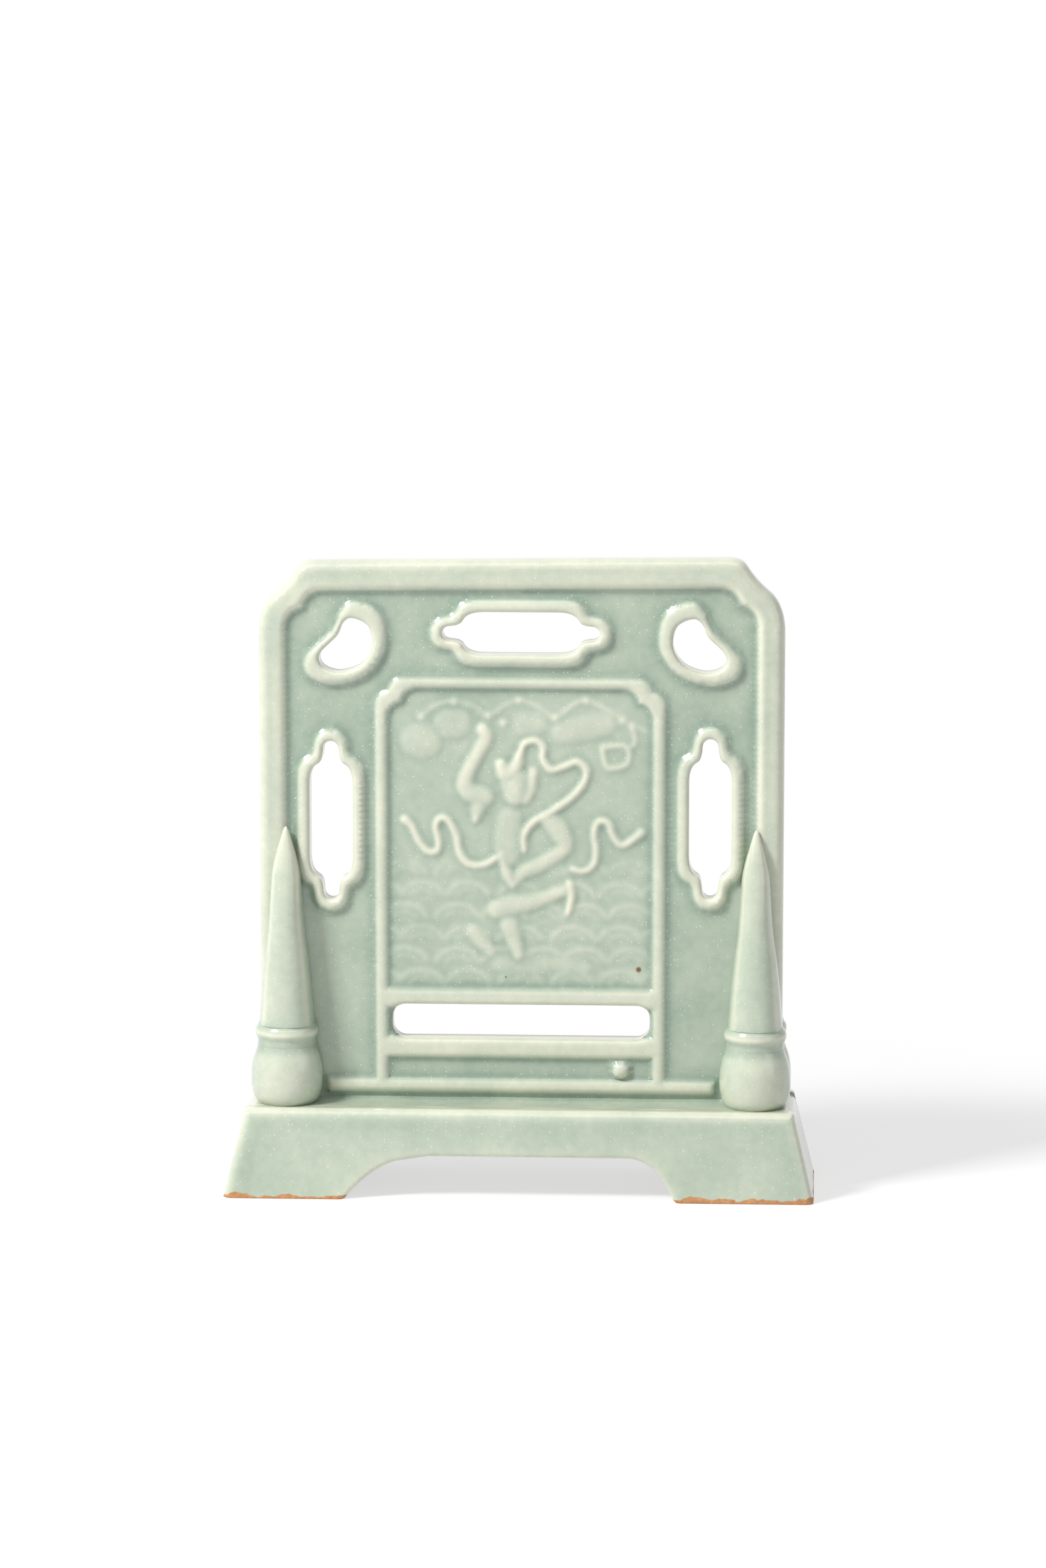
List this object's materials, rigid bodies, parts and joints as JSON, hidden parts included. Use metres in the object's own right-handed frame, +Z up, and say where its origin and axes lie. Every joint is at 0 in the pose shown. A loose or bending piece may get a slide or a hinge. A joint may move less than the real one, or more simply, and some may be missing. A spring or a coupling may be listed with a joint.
{
  "type": "table screen",
  "caption": "Small glazed ceramic table screen: a pierced, framed upright panel with a relief picture, held by bulb-footed posts on a flared base with an arched gap.",
  "frame": {"origin": "under the middle of the base, on the surface that it stands on", "axes": "+Z up, +X to the right along the panel, the pictured face looks towards -Y"},
  "size_m": [0.1648, 0.044, 0.1782],
  "materials": {
    "panel_glaze": "glossy celadon glaze, thick in hollows",
    "edge_glaze": "glossy celadon glaze, thin and pale on raised edges",
    "body_glaze": "glossy celadon glaze with pinholes, bare orange clay on the foot edge"
  },
  "bodies": {
    "root": {"screen_slab": "panel_glaze", "frame_top_rail": "edge_glaze", "frame_left_stile": "edge_glaze", "frame_right_stile": "edge_glaze", "top_window_rim": "edge_glaze", "left_window_rim": "edge_glaze", "right_window_rim": "edge_glaze", "heart_rim_left": "edge_glaze", "heart_rim_right": "edge_glaze", "picture_head_rail": "edge_glaze", "picture_left_stile": "edge_glaze", "picture_right_stile": "edge_glaze", "slot_upper_rail": "edge_glaze", "slot_lower_rail": "edge_glaze", "foot_rail": "edge_glaze", "relief_plaque": "panel_glaze", "pellet": "edge_glaze", "front_left_drum": "body_glaze", "front_left_collar": "body_glaze", "front_left_tongue": "body_glaze", "front_right_drum": "body_glaze", "front_right_collar": "body_glaze", "front_right_tongue": "body_glaze", "rear_left_drum": "body_glaze", "rear_left_collar": "body_glaze", "rear_left_tongue": "body_glaze", "rear_right_drum": "body_glaze", "rear_right_collar": "body_glaze", "rear_right_tongue": "body_glaze", "front_apron": "body_glaze", "rear_apron": "body_glaze", "left_end": "body_glaze", "right_end": "body_glaze", "deck": "body_glaze"}
  },
  "joints": []
}
